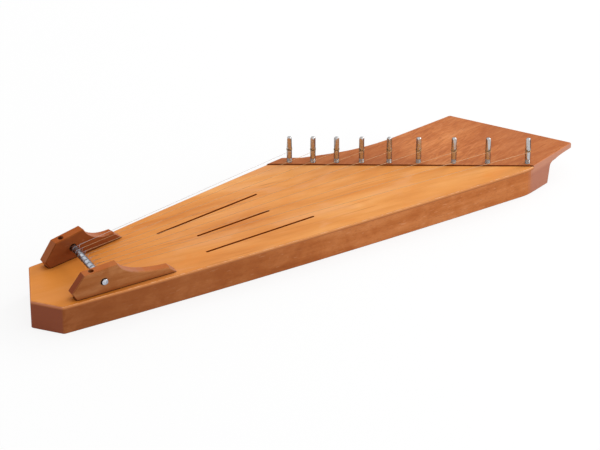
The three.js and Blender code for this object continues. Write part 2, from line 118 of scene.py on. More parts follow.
# Tuning pins: turn of each square head in degrees, then shank, thread, square, crown and hole
PIN_TURNS = (52, 24, 8, 31, 14, 3, 82, 85, 40)
PIN_RADIUS = 2.5 * MM
PIN_DEPTH = 14.6 * MM
PIN_TIP = 1.4 * MM
PIN_TIP_SLOPE = 0.7
THREAD_LOW = -1.5 * MM
THREAD_HIGH = 4.9 * MM
THREAD_PITCH = 0.55 * MM
THREAD_DEPTH = 0.13 * MM
SQUARE_START = 16 * MM
SQUARE_SHOULDER = 1.2 * MM
SQUARE_HALF_START = 2.3 * MM
SQUARE_HALF_END = 1.83 * MM
CROWN_START = 25.7 * MM
CROWN_DROP = 0.93
PIN_RISE = 27.4 * MM
CORNER_EASE = 0.13 * MM
HOLE_HEIGHT = 14.9 * MM
HOLE_RADIUS = 0.6 * MM

# Points round a pin and round its hole, then the rings that make up its skin: how many to a turn of
# the thread, at which heights on the plain shank, how many on the square and each rounded stretch
PIN_SIDES = 96
HOLE_SIDES = 20
THREAD_RINGS = 4
SHANK_RINGS = (8 * MM, 12 * MM, 13.6 * MM, SQUARE_START - 0.1 * MM)
SQUARE_RINGS = 4
ROUND_RINGS = 8

# Strings, their eyes round the rod and their windings round the pins
WIRE_RADIUS = 0.15 * MM
WIRE_GAP = 0.02 * MM
WIRE_SIDES = 8
TURN_POINTS = 40
ROD_RADIUS = 3 * MM
ROD_EASE = 0.35 * MM
ROD_EASE_RINGS = 4
ROD_SIDES = 48
FIRST_STRING_RUN = 62.39 * MM
LAST_STRING_RUN = 15.1 * MM
EYE_RADIUS = ROD_RADIUS + WIRE_RADIUS + WIRE_GAP
EYE_PITCH = 0.46 * MM
EYE_EXTRA_TURNS = 1
TWIST_NEAR = 5 * MM
TWIST_FAR = 12 * MM
TWIST_TURNS = 6
TWIST_TURN_POINTS = 12
TWIST_RADIUS = 2.08 * WIRE_RADIUS
RUN_SHARES = (0.02, 0.25, 0.5, 0.75, 1)
WINDING_HEIGHT = 13 * MM
WINDING_RADIUS = PIN_RADIUS + WIRE_RADIUS + WIRE_GAP
WINDING_PITCH = 0.43 * MM
WINDING_TURNS = 3
WINDING_CLIMB = math.radians(150)

# A winding's end: how far short of the hole it leaves the pin, its bend outward and back into the
# hole's mouth, and how far it stands out on the pin's other side, from the pin's middle
END_LEAVES = math.radians(14)
END_LEAD = 0.5 * MM
END_BOW = 3 * MM
END_MOUTH = 1.9 * MM
END_POINTS = 8
TAIL_OUT = 3.4 * MM

# Bracket screws, their domed heads as shares of the head's radius at depths below the top
SCREW_HEAD_RADIUS = 2.5 * MM
SCREW_HEAD_HEIGHT = 2.2 * MM
SCREW_HEAD_EDGE = 0.15 * MM
SCREW_DOME = ((1, 0.9 * MM), (0.93, 0.45 * MM), (0.75, 0.15 * MM), (0.4, 0.02 * MM))
SCREW_SHANK_RADIUS = 1.7 * MM
SCREW_LENGTH = 31 * MM
SCREW_TIP = 3 * MM
SCREW_POINT_RADIUS = 0.05 * MM
SCREW_SIDES = 40
RECESS_WIDTH = 0.55 * MM
RECESS_REACH = 1.5 * MM
RECESS_DEPTH = 1.1 * MM
RECESS_FLOOR_SHARE = 0.45
RECESS_TURN = 0.3
CUT_OVERLAP = 0.3 * MM


# Colours

def linear(red, green, blue):
    """A colour written as 8-bit screen values, as the shader needs it."""
    def channel(value):
        share = value / 255
        return share / 12.92 if share <= 0.04045 else ((share + 0.055) / 1.055) ** 2.4
    return (channel(red), channel(green), channel(blue), 1)


# Soundboard
BOARD_TONES = (
    (0.34, linear(210, 124, 54)),
    (0.45, linear(228, 147, 74)),
    (0.54, linear(238, 160, 86)),
    (0.66, linear(248, 178, 108)),
)
RING_TONE = linear(190, 108, 44)
VEIN_TONE = linear(168, 92, 40)
FIBRE_TONE = linear(176, 96, 30)
CLOUD_TONE = linear(240, 160, 66)
PALE_BLUSH = linear(236, 168, 114)
DEEP_BLUSH = linear(234, 142, 60)
BOARD_NOSE_TONE = linear(225, 134, 42)
BOARD_UPRIGHT_SHADE_TONE = linear(204, 132, 80)
BOARD_END_TONE = linear(184, 112, 92)
# Painted highlight on eased edges
EDGE_HIGHLIGHT_TONE = linear(250, 196, 150)
EDGE_LINE_TONE = linear(172, 96, 48)
SLOT_TONE = linear(138, 50, 0)
SEAM_TONE = linear(160, 90, 46)
# Painted shade: soft at the feet of other pieces, dark in narrow gaps
FOOT_SHADE_TONE = linear(150, 78, 22)
BOARD_GAP_SHADE_TONE = linear(70, 22, 0)

# Hardwood, from dark to pale in the figure, then the cut left end, the painted pinkish sheen on faces
# turned to the right and that sheen's paler top
BODY_TONES = (linear(160, 80, 34), linear(196, 112, 56), linear(212, 130, 72), linear(230, 154, 98))
NEAR_TONES = (linear(142, 76, 32), linear(216, 144, 86), linear(232, 162, 102), linear(242, 182, 128))
# Far bracket's tones darkened as painted shade
FAR_SHADED_TONES = (linear(112, 50, 12), linear(144, 74, 26), linear(160, 88, 36), linear(190, 116, 60))
BODY_END_AND_SHEEN_TONES = (linear(134, 70, 52), linear(168, 112, 94), linear(188, 132, 110))
NEAR_END_AND_SHEEN_TONES = (linear(128, 46, 2), linear(170, 110, 82), linear(170, 110, 82))
FAR_END_AND_SHEEN_TONES = (linear(164, 92, 54), linear(184, 120, 90), linear(184, 120, 90))
BODY_NOSE_TONE = linear(134, 71, 33)
FLECK_TONE = linear(228, 164, 118)
SIDE_SHADE_TONE = linear(146, 84, 40)
BRACKET_TOP_LIGHT_TONE = linear(200, 96, 12)
HEAD_STEP_SHADE_TONE = linear(104, 44, 12)
# Painted shade in narrow gaps
HARDWOOD_GAP_SHADE_TONE = linear(72, 26, 8)

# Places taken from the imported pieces
board_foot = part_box("soundboard")[0].z
board_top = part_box("soundboard")[1].z
rod_low, rod_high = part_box("string_rod")
rod_centre = (rod_low + rod_high) / 2
rod_near = Vector((rod_centre.x, rod_low.y, rod_centre.z))
rod_far = Vector((rod_centre.x, rod_high.y, rod_centre.z))


# Shader nodes

class Nodes:
    """A node tree that is filled in from empty."""

    def __init__(self, owner):
        owner.use_nodes = True
        self.tree = owner.node_tree
        self.tree.nodes.clear()

    def put(self, kind, values=None, **settings):
        """A new node, with each of its inputs set to a value or linked to another node's output."""
        node = self.tree.nodes.new(kind)
        for key, value in settings.items():
            setattr(node, key, value)
        for socket, value in (values or {}).items():
            target = node.inputs[socket]
            if isinstance(value, bpy.types.NodeSocket):
                self.tree.links.new(value, target)
            else:
                target.default_value = value
        return node

    def math(self, operation, first, second=0.0, clamp=False):
        values = {0: first, 1: second}
        return self.put("ShaderNodeMath", values, operation=operation, use_clamp=clamp).outputs[0]

    def fold(self, operation, first, *others):
        for value in others:
            first = self.math(operation, first, value)
        return first

    def times(self, *values):
        return self.fold("MULTIPLY", *values)

    def total(self, *values):
        return self.fold("ADD", *values)

    def most(self, *values):
        return self.fold("MAXIMUM", *values)

    def mix(self, share, first, second):
        return self.put("ShaderNodeMix", {0: share, 6: first, 7: second}, data_type="RGBA").outputs[2]


class Shader(Nodes):
    """A material's node tree, which works from the object's own coordinates."""

    def __init__(self, name):
        self.material = bpy.data.materials.new(name)
        super().__init__(self.material)
        coordinates = self.put("ShaderNodeTexCoord").outputs
        self.place = coordinates["Object"]
        self.normal = coordinates["Normal"]

    def parts(self, vector):
        return self.put("ShaderNodeSeparateXYZ", {0: vector}).outputs

    def vectors(self, operation, first, second, result="Vector"):
        values = {0: first, 1: second}
        return self.put("ShaderNodeVectorMath", values, operation=operation).outputs[result]

    def noise(self, vector, scale=1.0, detail=2.0, roughness=0.5, distortion=0.0):
        values = {
            "Vector": vector, "Scale": scale, "Detail": detail,
            "Roughness": roughness, "Distortion": distortion,
        }
        return self.put("ShaderNodeTexNoise", values).outputs["Fac"]

    def grain(self, vector, turn, features, **settings):
        """Noise turned about Z and stretched, with so many features per metre along each axis."""
        values = {"Vector": vector, "Rotation": (0, 0, math.radians(turn))}
        turned = self.put("ShaderNodeMapping", values).outputs[0]
        stretched = self.put("ShaderNodeMapping", {"Vector": turned, "Scale": features}).outputs[0]
        return self.noise(stretched, **settings)

    def wavy(self, scale):
        """The object's coordinates pushed sideways by slow noise, so that the grain wanders."""
        values = {"Vector": self.place, "Scale": scale, "Detail": 1.0}
        slow = self.put("ShaderNodeTexNoise", values).outputs["Color"]
        centred = self.vectors("SUBTRACT", slow, (0.5, 0.5, 0.5))
        push = self.vectors("MULTIPLY", centred, (0, GRAIN_WANDER, GRAIN_WANDER))
        return self.vectors("ADD", self.place, push)

    def swing(self, noise, amount):
        """Noise about zero instead of about one half."""
        return self.times(self.math("SUBTRACT", noise, 0.5), amount)

    def spread(self, value, low, high, to_low=0.0, to_high=1.0):
        """Smooth change from one output to another while the value goes from low to high."""
        values = {
            "Value": value, "From Min": low, "From Max": high,
            "To Min": to_low, "To Max": to_high,
        }
        return self.put("ShaderNodeMapRange", values, interpolation_type="SMOOTHSTEP").outputs[0]

    def within(self, value, middle, half):
        """One where a coordinate lies inside a stretch."""
        off = self.math("ABSOLUTE", self.math("SUBTRACT", value, middle))
        return self.spread(off, half, half - SLOTS_FADE)

    def ramp(self, value, stops):
        node = self.put("ShaderNodeValToRGB", {"Fac": value})
        elements = node.color_ramp.elements
        while len(elements) < len(stops):
            elements.new(0.5)
        for element, (position, colour) in zip(elements, stops):
            element.position = position
            element.color = colour
        return node.outputs["Color"]

    def bump(self, height, strength, distance, normal=None):
        values = {"Height": height, "Strength": strength, "Distance": distance}
        if normal is not None:
            values["Normal"] = normal
        return self.put("ShaderNodeBump", values).outputs["Normal"]

    def eased_edges(self, radius):
        """Normals rounded over sharp edges, and a share that is one right at such an edge."""
        rounded = self.put("ShaderNodeBevel", {"Radius": radius}, samples=6).outputs["Normal"]
        flat = self.put("ShaderNodeNewGeometry").outputs["True Normal"]
        alike = self.vectors("DOT_PRODUCT", rounded, flat, "Value")
        return rounded, self.spread(alike, 0.995, 0.85)

    def painted_crevice_shade(self, distance, open_above=0.54, shut_below=0.32):
        """Share of painted shade, from ambient occlusion: one deep in narrow gaps and along the feet
        of other pieces, nothing on open faces.
        """
        node = self.put("ShaderNodeAmbientOcclusion", {"Distance": distance}, samples=8)
        return self.spread(node.outputs["AO"], open_above, shut_below)

    def finish(self, values):
        surface = self.put("ShaderNodeBsdfPrincipled", values).outputs["BSDF"]
        self.put("ShaderNodeOutputMaterial", {"Surface": surface})
        return self.material


# Soundboard's wood

def board_grain(s):
    """Straight honey-coloured grain, and the rings and fibres that also make its relief."""
    place = s.wavy(6)
    broad = s.grain(place, BOARD_TURN, (6, 34, 34), detail=4, roughness=0.55, distortion=0.4)
    band = s.grain(place, BOARD_TURN, (12, 120, 120), detail=3, roughness=0.55)
    ring = s.grain(place, BOARD_TURN, (9, 900, 900), roughness=0.6)
    fibre = s.grain(place, BOARD_TURN, (110, 3800, 3800), roughness=0.7)
    vein = s.grain(place, BOARD_TURN, (5, 420, 420), detail=1, roughness=0.4)
    blush = s.grain(place, BOARD_TURN, (16, 52, 52), detail=3, roughness=0.55, distortion=0.8)
    cloud = s.noise(s.place, scale=9)
    colour = s.ramp(s.total(s.times(broad, 0.66), s.times(band, 0.34)), BOARD_TONES)
    colour = s.mix(s.spread(ring, 0.43, 0.30, 0, 0.16), colour, RING_TONE)
    colour = s.mix(s.spread(vein, 0.31, 0.24, 0, 0.5), colour, VEIN_TONE)
    colour = s.mix(s.spread(fibre, 0.35, 0.7, 0.14, 0), colour, FIBRE_TONE)
    colour = s.mix(s.spread(cloud, 0.3, 0.7, 0, 0.2), colour, CLOUD_TONE)
    colour = s.mix(s.spread(blush, 0.5, 0.68, 0, 0.4), colour, PALE_BLUSH)
    colour = s.mix(s.spread(blush, 0.44, 0.3, 0, 0.4), colour, DEEP_BLUSH)
    return colour, ring, fibre


def board_edges(s, colour, along, lean, edge):
    """Painted highlights on the eased edges and bevel, broken up by noise, under a thin dark line, and
    dark walls in the sound slots.
    """
    edge_breakup = s.grain(s.place, 0, (190, 190, 190), roughness=0.6)
    by_slots = s.times(s.within(along[0], *SLOTS_ALONG), s.within(along[1], *SLOTS_ACROSS))
    off_slots = s.math("SUBTRACT", 1, by_slots)
    bevel = s.times(s.spread(lean[2], 0.95, 0.85), s.spread(lean[2], 0.45, 0.6))
    # Painted highlight along eased edges and bevel facets, kept off the slots and dimmer at the nose
    painted_edge_highlight = s.times(
        s.most(edge, bevel), s.spread(edge_breakup, 0.42, 0.62, 0.12, 0.7), off_slots,
        s.spread(lean[0], -0.2, -0.5, 1, 0.3))
    colour = s.mix(painted_edge_highlight, colour, EDGE_HIGHLIGHT_TONE)
    edge_line = s.times(
        s.spread(lean[2], 0.9995, 0.99), s.spread(lean[2], 0.86, 0.94),
        s.spread(edge_breakup, 0.3, 0.5, 0.5, 0.85), off_slots)
    colour = s.mix(edge_line, colour, EDGE_LINE_TONE)
    wall = s.most(s.math("MULTIPLY", edge, 2.6, clamp=True), s.spread(lean[2], 0.7, 0.4))
    slot_wall = s.times(wall, by_slots)
    return s.mix(slot_wall, colour, SLOT_TONE), slot_wall


def board_material():
    """Straight-grained, honey-coloured wood under satin lacquer."""
    s = Shader("board_lacquered_straight_grain")
    along = s.parts(s.place)
    lean = s.parts(s.normal)
    rounded, edge = s.eased_edges(BOARD_EASE)
    colour, ring, fibre = board_grain(s)
    colour = s.mix(s.spread(along[0], *BOARD_DARKENING, 0, 0.66), colour, BOARD_NOSE_TONE)
    # Painted shade: upright faces of the soundboard darker and duller than its top
    colour = s.mix(s.spread(lean[2], 0.62, 0.4, 0, 0.8), colour, BOARD_UPRIGHT_SHADE_TONE)
    colour = s.mix(s.spread(lean[0], -0.3, -0.8, 0, 0.7), colour, BOARD_END_TONE)
    colour, slot_wall = board_edges(s, colour, along, lean, edge)
    seam = s.spread(along[2], board_foot + 3 * SEAM_WIDTH, board_foot + SEAM_WIDTH, 0, 0.85)
    colour = s.mix(seam, colour, SEAM_TONE)
    # Painted shade beside the brackets and in narrow gaps
    colour = s.mix(s.times(s.painted_crevice_shade(FOOT_REACH, 0.9, 0.5), 0.45), colour, FOOT_SHADE_TONE)
    colour = s.mix(s.painted_crevice_shade(GAP_REACH), colour, BOARD_GAP_SHADE_TONE)
    relief = s.total(s.times(ring, 0.6), s.times(fibre, 0.4))
    return s.finish({
        "Base Color": colour,
        "Roughness": s.spread(fibre, 0.3, 0.7, 0.42, 0.52),
        "Specular IOR Level": s.spread(slot_wall, 0, 1, 0.12, 0),
        "Coat Weight": 0.06,
        "Coat Roughness": 0.32,
        "Normal": s.bump(relief, 0.16, WOOD_RELIEF, rounded),
    })


# Hardwood of the body and the brackets

def hardwood_grain(s, lean, tones, pore_tone, figure, strokes, lines):
    """Wandering red-brown grain with curl and pores, and the noises that also make its gloss."""
    place = s.wavy(7)
    blotch = s.grain(place, BODY_TURN, (11, 34, 34), detail=4, roughness=0.6)
    band = s.grain(place, BODY_TURN, (8, 150, 150), detail=4, roughness=0.62, distortion=0.4)
    line = s.grain(place, BODY_TURN, (18, 480, 480), detail=3, roughness=0.6)
    pore = s.grain(place, BODY_TURN, (260, 2600, 2600), detail=1)
    fleck = s.grain(place, BODY_TURN, (130, 640, 640), detail=1)
    curl = s.grain(place, CURL_TURN, (34, 70, 40), detail=4, roughness=0.55, distortion=1.6)
    stroke = s.grain(place, STROKE_TURN, (42, 230, 180), roughness=0.45, distortion=2.0)
    mottle = s.grain(s.place, 0, (52, 52, 18), detail=4, roughness=0.6, distortion=0.6)
    upright_mottle = s.times(s.swing(mottle, 0.5 * figure), s.spread(lean[2], *UPRIGHT))
    tone = s.total(s.times(blotch, 0.55), s.times(band, 0.45), s.swing(curl, figure), upright_mottle)
    colour = s.ramp(tone, tuple(zip((0.28, 0.46, 0.58, 0.76), tones)))
    dark_lines = s.times(s.spread(line, 0.48, 0.32, 0, lines), s.spread(lean[2], 0.3, 0.6, 0.5, 1))
    colour = s.mix(dark_lines, colour, tones[0])
    upward = s.spread(lean[2], 0.4, 0.8, 0.25, 1)
    dark_strokes = s.times(s.spread(stroke, 0.46, 0.34, 0, strokes), upward)
    colour = s.mix(dark_strokes, colour, tones[0])
    pale_strokes = s.times(s.spread(stroke, 0.53, 0.66, 0, 0.7 * strokes), upward)
    colour = s.mix(pale_strokes, colour, tones[3])
    colour = s.mix(s.spread(pore, 0.40, 0.27, 0, 0.55), colour, pore_tone)
    flecks = s.times(s.spread(fleck, 0.67, 0.75), s.spread(lean[2], *UPRIGHT, 0, 0.6))
    return s.mix(flecks, colour, FLECK_TONE), blotch, line, pore


def hardwood_places(s, colour, along, lean, tones, nose_tone, head, side, foot, top, gaps):
    """Darker and redder parts: painted shade on upright sides, at the brackets' feet and on the head's
    front step, painted light in a warmer tone on the brackets' tops, and a darker nose and head.
    """
    # Painted shade: upright faces darker than the tops
    colour = s.mix(s.spread(lean[2], *UPRIGHT, 0, side), colour, SIDE_SHADE_TONE)
    colour = s.mix(s.spread(along[0], *BODY_DARKENING, 0, 0.72), colour, nose_tone)
    colour = s.mix(s.spread(along[0], *NOSE_DARKENING, 0, 0.4), colour, nose_tone)
    patch = s.grain(s.place, 0, (34, 20, 60), detail=4, roughness=0.6, distortion=0.5)
    colour = s.mix(s.spread(patch, 0.48, 0.66, 0, 0.12), colour, tones[3])
    colour = s.mix(s.spread(patch, 0.46, 0.3, 0, 0.16), colour, tones[0])
    head_ends = s.total(
        s.spread(along[0], *HEAD_DARKENING_LEFT), s.spread(along[0], *HEAD_DARKENING_RIGHT, 0, 0.8))
    colour = s.mix(s.times(s.spread(lean[2], *LYING, 0, head), head_ends), colour, tones[0])
    # Painted light: the brackets' upward faces in a warmer, redder tone
    colour = s.mix(s.spread(lean[2], *LYING, 0, top), colour, BRACKET_TOP_LIGHT_TONE)
    # Painted shade on the brackets toward their feet
    low = s.spread(along[2], board_top + BRACKET_SHADE, board_top, 0, foot)
    colour = s.mix(low, colour, tones[0])
    # Painted shade on the head's front step, just above the soundboard
    head_step_shade = s.times(
        s.spread(lean[0], -0.1, -0.35), s.spread(lean[1], -0.3, -0.6),
        s.spread(along[2], board_top - HEAD_LINE, board_top, 0, gaps), s.spread(lean[2], *UPRIGHT))
    return s.mix(head_step_shade, colour, HEAD_STEP_SHADE_TONE)


def hardwood_ends_and_sheen(s, colour, along, lean, dark_tone, ends):
    """Cut end grain at the left end in tones of its own, and a painted pinkish sheen on faces turned
    to the right.
    """
    end_grain = s.grain(s.place, 0, (900, 700, 700), detail=3, roughness=0.7)
    left_end = s.mix(s.spread(end_grain, 0.35, 0.7, 0, 0.25), ends[0], dark_tone)
    # Painted sheen on faces turned to the right, paler higher up
    painted_right_sheen = s.mix(s.spread(along[2], *RIGHT_SHEEN_PALING), ends[1], ends[2])
    colour = s.mix(s.spread(lean[0], -0.42, -0.8, 0, 0.9), colour, left_end)
    right_sheen_faces = s.times(s.spread(lean[0], 0.16, 0.34, 0, 0.85), s.spread(lean[1], 0.2, -0.1))
    return s.mix(right_sheen_faces, colour, painted_right_sheen)


def hardwood_material(name, tones, nose_tone, ends, figure, strokes, lines,
                      head=0.0, side=0.0, foot=0.0, top=0.0, gaps=0.9, edge_highlight_share=0.3):
    """Lacquered red-brown hardwood, with the strength of each of its marks and shaded parts."""
    s = Shader(name)
    along = s.parts(s.place)
    lean = s.parts(s.normal)
    rounded, edge = s.eased_edges(HARDWOOD_EASE)
    colour, blotch, line, pore = hardwood_grain(s, lean, tones, ends[0], figure, strokes, lines)
    colour = hardwood_places(s, colour, along, lean, tones, nose_tone, head, side, foot, top, gaps)
    colour = hardwood_ends_and_sheen(s, colour, along, lean, tones[0], ends)
    # Painted highlight on eased edges
    colour = s.mix(s.times(edge, edge_highlight_share), colour, tones[3])
    # Painted shade in narrow gaps, holes and contact lines
    colour = s.mix(s.times(s.painted_crevice_shade(GAP_REACH), gaps), colour, HARDWOOD_GAP_SHADE_TONE)
    relief = s.total(s.times(line, 0.5), s.times(pore, 0.5))
    return s.finish({
        "Base Color": colour,
        "Roughness": s.spread(blotch, 0.3, 0.7, 0.4, 0.5),
        "Specular IOR Level": 0.14,
        "Specular Tint": (1, 0.66, 0.4, 1),
        "Coat Weight": 0.05,
        "Coat Roughness": 0.3,
        "Normal": s.bump(relief, 0.18, WOOD_RELIEF, rounded),
    })


def raw_wood_material():
    """Unlacquered softwood inside the chamber."""
    s = Shader("brace_raw_wood")
    band = s.grain(s.place, 0, (500, 8, 500), detail=3, roughness=0.6)
    colour = s.ramp(band, ((0.3, linear(176, 132, 82)), (0.7, linear(214, 176, 124))))
    return s.finish({"Base Color": colour, "Roughness": 0.8, "Normal": s.bump(band, 0.3, WOOD_RELIEF)})


# Metals

def metal_material(name, bright, dull, edge, roughness, tarnish, brush,
                   streaks=0.3, foot=0, wound=None):
    """Drawn or plated metal with fine marks, dull patches and darker grazing reflections."""
    s = Shader(name)
    along = s.parts(s.place)
    mark = s.grain(s.place, 0, brush, roughness=0.6)
    patch = s.noise(s.place, scale=420, detail=3, roughness=0.65)
    colour = s.mix(s.spread(patch, 0.5 - tarnish, 0.75, 0, 0.8), bright, dull)
    colour = s.mix(s.spread(mark, 0.4, 0.7, 0, streaks), colour, dull)
    if foot:
        colour = s.mix(s.spread(along[2], foot, 0.7 * foot, 0, 0.75), colour, dull)
    if wound:
        by_rod = rod_centre.x + EYE_RADIUS
        # Painted highlight: strings paler toward the pins
        colour = s.mix(s.spread(along[0], *STRING_HIGHLIGHT_STRETCH, 0, 0.7), colour, bright)
        colour = s.mix(s.spread(along[0], by_rod + TWIST_NEAR, by_rod), colour, wound)
    return s.finish({
        "Base Color": colour,
        "Metallic": 1.0,
        "Specular Tint": edge,
        "Roughness": s.spread(patch, 0.35, 0.7, roughness, roughness + 0.14),
        "Normal": s.bump(mark, 0.12, METAL_RELIEF),
    })


WIRE_BRUSH = (900, 900, 900)
WOUND_TONE = (0.34, 0.34, 0.37, 1)

board_wood = board_material()
body_wood = hardwood_material(
    "body_lacquered_hardwood", BODY_TONES, BODY_NOSE_TONE, BODY_END_AND_SHEEN_TONES,
    figure=0.36, strokes=0.36, lines=0.3, head=0.54, side=0.28)
near_wood = hardwood_material(
    "near_bracket_lacquered_hardwood", NEAR_TONES, NEAR_TONES[0], NEAR_END_AND_SHEEN_TONES,
    figure=0.1, strokes=0.12, lines=0.55, foot=0.66, top=0.5, gaps=0.3, edge_highlight_share=0.5)
# The far bracket in darker tones, painted shade where the near bracket keeps light from it
far_wood_shaded = hardwood_material(
    "far_bracket_shaded_hardwood", FAR_SHADED_TONES, FAR_SHADED_TONES[0], FAR_END_AND_SHEEN_TONES,
    figure=0.14, strokes=0.12, lines=0.6, foot=0.3, top=0.5, gaps=0.3, edge_highlight_share=0.4)
raw_wood = raw_wood_material()
pin_steel = metal_material(
    "pin_nickelled_steel", bright=(0.56, 0.55, 0.55, 1), dull=(0.30, 0.28, 0.27, 1),
    edge=(0.03, 0.02, 0.02, 1), roughness=0.2, tarnish=0.04, brush=(3000, 3000, 120),
    foot=THREAD_HIGH + THREAD_PITCH)
rod_steel = metal_material(
    "rod_bright_steel", bright=(0.62, 0.65, 0.71, 1), dull=(0.28, 0.29, 0.33, 1),
    edge=(0.10, 0.10, 0.12, 1), roughness=0.22, tarnish=0.02, brush=(200, 700, 200), streaks=0.8)
string_steel = metal_material(
    "string_plain_steel", bright=(0.62, 0.62, 0.62, 1), dull=(0.39, 0.36, 0.33, 1),
    edge=(0.4, 0.38, 0.36, 1), roughness=0.3, tarnish=0.6, brush=WIRE_BRUSH, wound=WOUND_TONE)
string_bronze = metal_material(
    "string_drawn_bronze", bright=(0.69, 0.47, 0.29, 1), dull=(0.42, 0.25, 0.12, 1),
    edge=(0.45, 0.29, 0.16, 1), roughness=0.3, tarnish=0.6, brush=WIRE_BRUSH, wound=WOUND_TONE)
winding_bronze = metal_material(
    "winding_drawn_bronze", bright=(0.42, 0.27, 0.14, 1), dull=(0.32, 0.2, 0.1, 1),
    edge=(0.38, 0.26, 0.15, 1), roughness=0.3, tarnish=0.0, brush=WIRE_BRUSH)
screw_steel = metal_material(
    "screw_browned_steel", bright=(0.34, 0.27, 0.21, 1), dull=(0.16, 0.11, 0.08, 1),
    edge=(0.2, 0.15, 0.1, 1), roughness=0.36, tarnish=0.1, brush=WIRE_BRUSH)


def dress(name, material):
    slots = nodes[name].material_slots
    for place in slots:
        place.material = material
    if not slots:
        nodes[name].data.materials.append(material)


dress("carved_body", body_wood)
dress("soundboard", board_wood)
dress("soundboard_brace_1", raw_wood)
dress("soundboard_brace_2", raw_wood)
dress("near_bracket", near_wood)
dress("far_bracket", far_wood_shaded)


# Meshes

def placed(name, data):
    """A new object in the scene that shows the data."""
    made = bpy.data.objects.new(name, data)
    bpy.context.scene.collection.objects.link(made)
    return made


def piece(name, vertices, faces, material, crease=35):
    """A smooth-shaded object, with sharp edges where its faces meet at more than the crease."""
    mesh = bpy.data.meshes.new(name)
    mesh.from_pydata([tuple(v) for v in vertices], [], faces)
    work = bmesh.new()
    work.from_mesh(mesh)
    bmesh.ops.recalc_face_normals(work, faces=work.faces)
    work.to_mesh(mesh)
    work.free()
    mesh.polygons.foreach_set("use_smooth", [True] * len(mesh.polygons))
    mesh.set_sharp_from_angle(angle=math.radians(crease))
    mesh.materials.append(material)
    return placed(name, mesh)


def circle(centre, radius, sides, first, second):
    """Points evenly round a circle in the plane of two directions."""
    points = []
    for k in range(sides):
        angle = 2 * math.pi * k / sides
        points.append(centre + radius * (first * math.cos(angle) + second * math.sin(angle)))
    return points


def stacked(rings):
    """Closed skin over rings of equally many points, with one face at each end."""
    count = len(rings[0])
    vertices = [point for ring in rings for point in ring]
    faces = []
    for level in range(len(rings) - 1):
        for i in range(count):
            low, low_next = level * count + i, level * count + (i + 1) % count
            faces.append((low, low_next, low_next + count, low + count))
    faces.append(tuple(reversed(range(count))))
    last = (len(rings) - 1) * count
    faces.append(tuple(range(last, last + count)))
    return vertices, faces


def tube(points, radius, sides):
    """Round wire through points, its frame carried along without twist."""
    rings = []
    across = None
    for i, point in enumerate(points):
        ahead = points[min(i + 1, len(points) - 1)] - points[max(i - 1, 0)]
        ahead.normalize()
        if across is None:
            across = ahead.orthogonal().normalized()
        across = (across - ahead * across.dot(ahead)).normalized()
        rings.append(circle(point, radius, sides, across, ahead.cross(across)))
    return stacked(rings)


def smoothstep(share):
    share = min(max(share, 0), 1)
    return share * share * (3 - 2 * share)


def soft_least(first, second, ease):
    """The lesser of two lengths, rounded over where they meet."""
    share = min(max(0.5 + 0.5 * (second - first) / ease, 0), 1)
    return second + (first - second) * share - ease * share * (1 - share)


def cut(target, cutter):
    """The target with the cutter's shape taken out of it; the cutter is used up."""
    change = target.modifiers.new("cut", "BOOLEAN")
    change.operation = "DIFFERENCE"
    change.solver = "EXACT"
    change.object = cutter
    bpy.context.view_layer.update()
    shaped = target.evaluated_get(bpy.context.evaluated_depsgraph_get())
    mesh = bpy.data.meshes.new_from_object(shaped)
    target.modifiers.remove(change)
    target.data = mesh
    spent = cutter.data
    bpy.data.objects.remove(cutter)
    bpy.data.meshes.remove(spent)


# Tuning pins

def thread_relief(height, angle):
    """Depth of the thread below the shank, which fades out at both ends of its stretch."""
    fade = smoothstep((height - THREAD_LOW) / THREAD_PITCH)
    fade *= smoothstep((THREAD_HIGH - height) / THREAD_PITCH)
    turn = height / THREAD_PITCH - angle / (2 * math.pi)
    return THREAD_DEPTH * fade * (0.5 + 0.5 * math.cos(2 * math.pi * turn))


def square_half(height):
    """Half the width of the pin's square, drawn in from the shank's width over the shoulder."""
    above = height - SQUARE_START
    if height < SQUARE_START + SQUARE_SHOULDER:
        return PIN_RADIUS + (SQUARE_HALF_START - PIN_RADIUS) * math.sqrt(above / SQUARE_SHOULDER)
    share = (above - SQUARE_SHOULDER) / (PIN_RISE - SQUARE_START - SQUARE_SHOULDER)
    return SQUARE_HALF_START + (SQUARE_HALF_END - SQUARE_HALF_START) * share


def pin_radius(height, angle):
    if height < PIN_TIP - PIN_DEPTH:
        return PIN_RADIUS - PIN_TIP_SLOPE * (PIN_TIP - PIN_DEPTH - height)
    radius = PIN_RADIUS - thread_relief(height, angle)
    if height > SQUARE_START:
        flat = square_half(height) / max(abs(math.cos(angle)), abs(math.sin(angle)))
        radius = soft_least(radius, flat, CORNER_EASE)
    if height > CROWN_START:
        share = (height - CROWN_START) / (PIN_RISE - CROWN_START)
        dome = PIN_RADIUS * math.sqrt(max(1 - CROWN_DROP * share * share, 0))
        radius = soft_least(radius, dome, CORNER_EASE)
    return radius


def levels(low, stretch, count):
    """Evenly spaced heights above low, the last of them at the stretch's upper end."""
    return [low + stretch * i / count for i in range(1, count + 1)]


def pin_heights():
    thread = THREAD_HIGH - THREAD_LOW
    square_low = SQUARE_START + SQUARE_SHOULDER
    square = CROWN_START - SQUARE_START - SQUARE_SHOULDER
    heights = [-PIN_DEPTH, PIN_TIP - PIN_DEPTH, THREAD_LOW - THREAD_PITCH, THREAD_LOW]
    heights += levels(THREAD_LOW, thread, round(thread / THREAD_PITCH * THREAD_RINGS))
    heights += SHANK_RINGS
    heights += levels(SQUARE_START, SQUARE_SHOULDER, ROUND_RINGS)
    heights += levels(square_low, square, SQUARE_RINGS)
    for i in range(1, ROUND_RINGS + 1):
        share = math.sin(math.pi / 2 * i / ROUND_RINGS)
        heights.append(CROWN_START + (PIN_RISE - CROWN_START) * share)
    return heights


